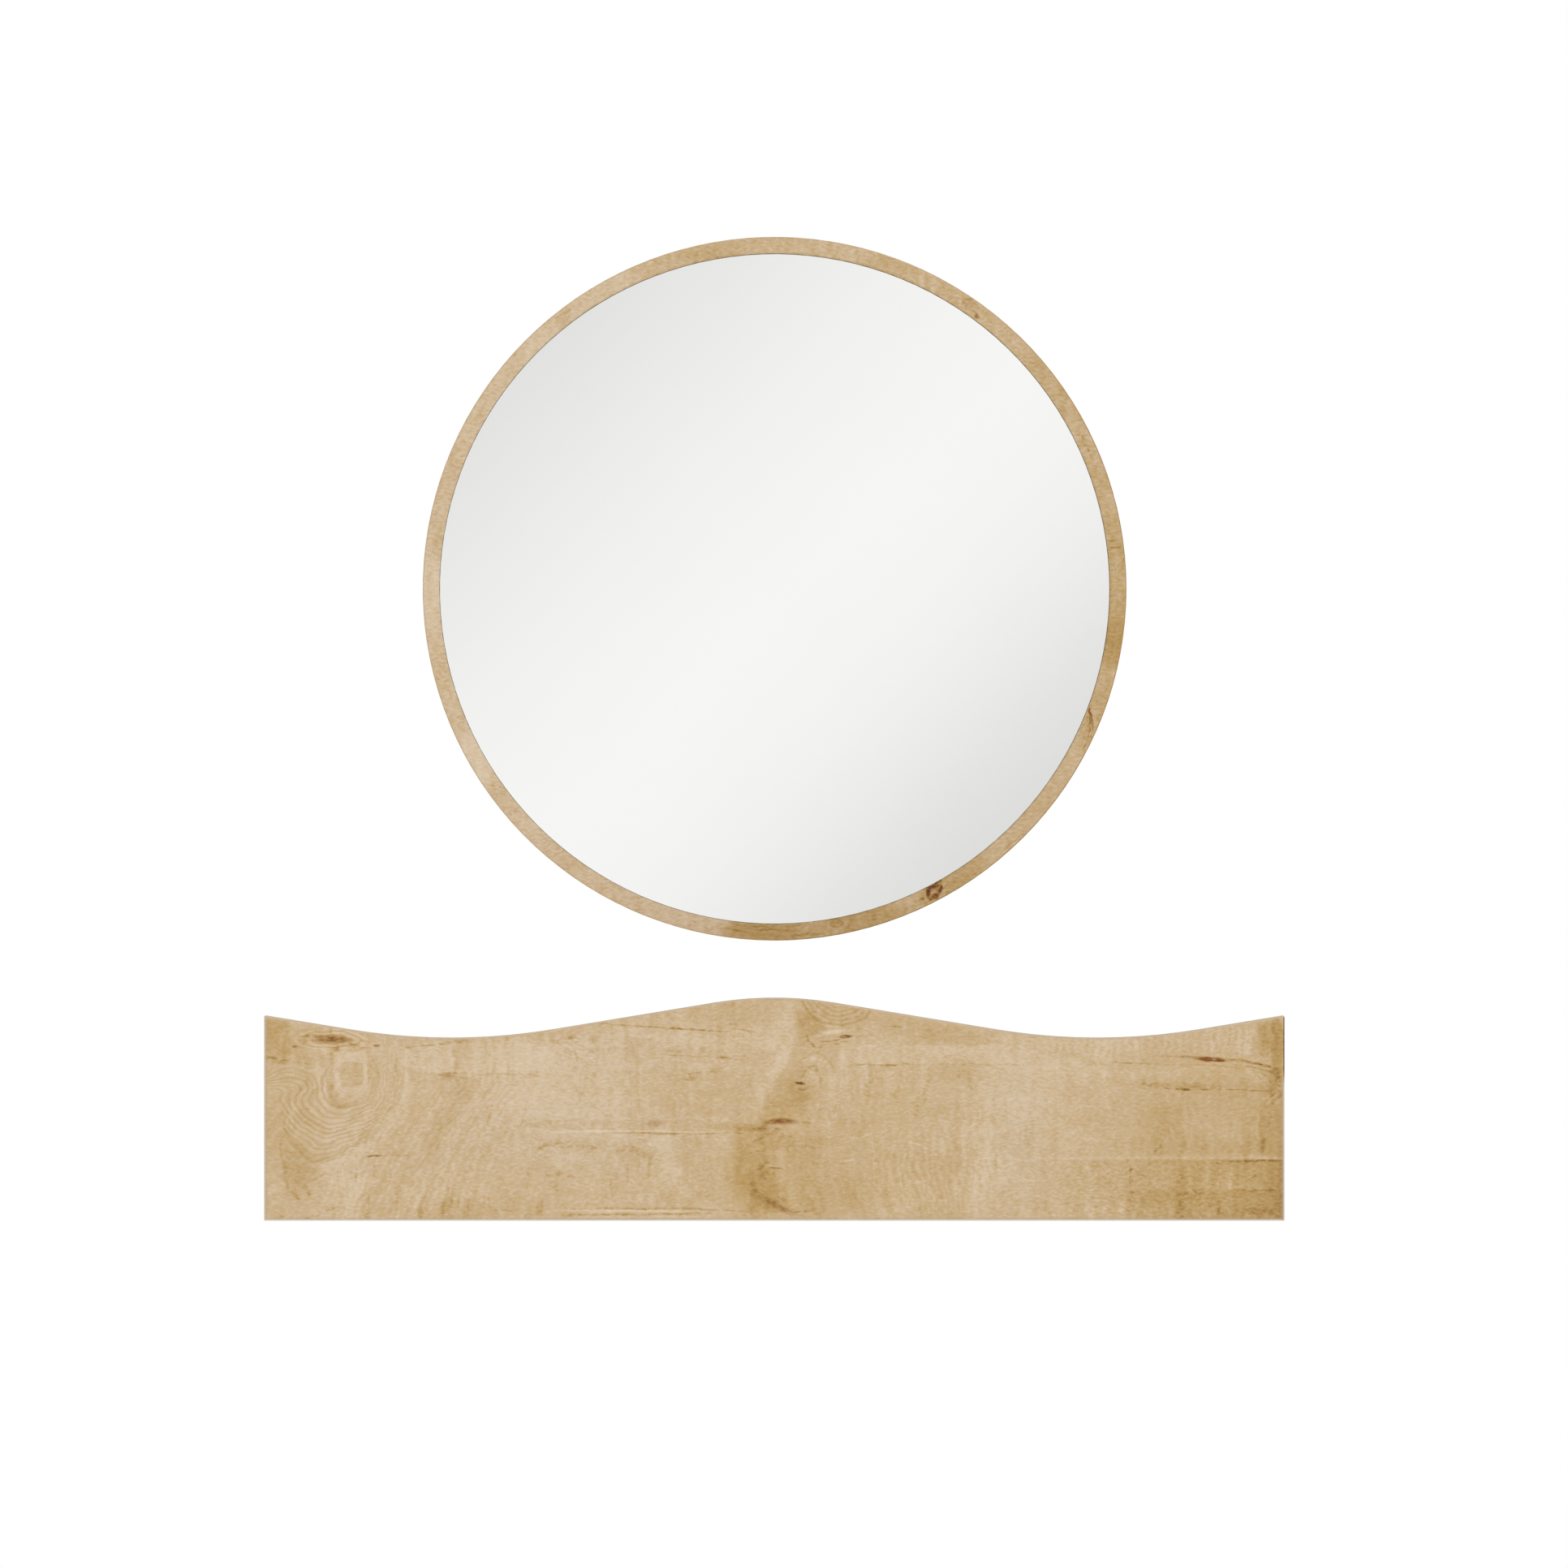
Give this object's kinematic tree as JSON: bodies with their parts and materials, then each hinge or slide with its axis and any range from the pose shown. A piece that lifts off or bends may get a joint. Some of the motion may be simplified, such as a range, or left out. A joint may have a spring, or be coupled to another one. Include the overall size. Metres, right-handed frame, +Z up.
{
  "type": "mirror with shelf",
  "caption": "Round wall mirror with a thin oak-decor rim above a wall-hung oak-decor shelf, whose tall front panel has a wavy top edge and hides the board behind it.",
  "frame": {"origin": "on the wall plane, half way between the entry holes of the shelf's two hangers, 80 mm above the bottom of the front panel", "axes": "+X to the right as seen from the room, +Y into the wall, +Z up"},
  "size_m": [0.84, 0.18, 0.826],
  "materials": {
    "oak_board": "chipboard faced with matt pale oak decor paper in melamine resin",
    "oak_band": "matt printed oak decor edge band",
    "mirror_glass": "silvered float glass with ground arrises and a painted back",
    "foam_tape": "double-sided foam tape",
    "hanger_steel": "bright zinc-plated sheet steel",
    "zinc_screws": "zinc-plated steel",
    "cast_zinc": "tumbled zinc casting",
    "beech": "turned beech",
    "cap_plastic": "matt moulded plastic in the colour of the decor"
  },
  "bodies": {
    "root": {"mirror_board": "oak_board", "mirror_edge_band": "oak_band", "mirror_glass": "mirror_glass", "mirror_tape": "foam_tape", "mirror_hanger_left": "hanger_steel", "mirror_hanger_right": "hanger_steel", "mirror_hanger_screws": "zinc_screws", "front_panel": "oak_board", "front_top_band": "oak_band", "front_bottom_band": "oak_band", "front_left_band": "oak_band", "front_right_band": "oak_band", "shelf_board": "oak_board", "side_panel_left": "oak_board", "side_panel_right": "oak_board", "side_left_top_band": "oak_band", "side_left_bottom_band": "oak_band", "side_right_top_band": "oak_band", "side_right_bottom_band": "oak_band", "hanging_rail": "oak_board", "rail_bottom_band": "oak_band", "cam_locks": "cast_zinc", "cam_bolts": "zinc_screws", "dowels": "beech", "confirmat_screws": "zinc_screws", "screw_caps": "cap_plastic", "shelf_hanger_left": "hanger_steel", "shelf_hanger_right": "hanger_steel", "shelf_hanger_screws": "zinc_screws"}
  },
  "joints": []
}
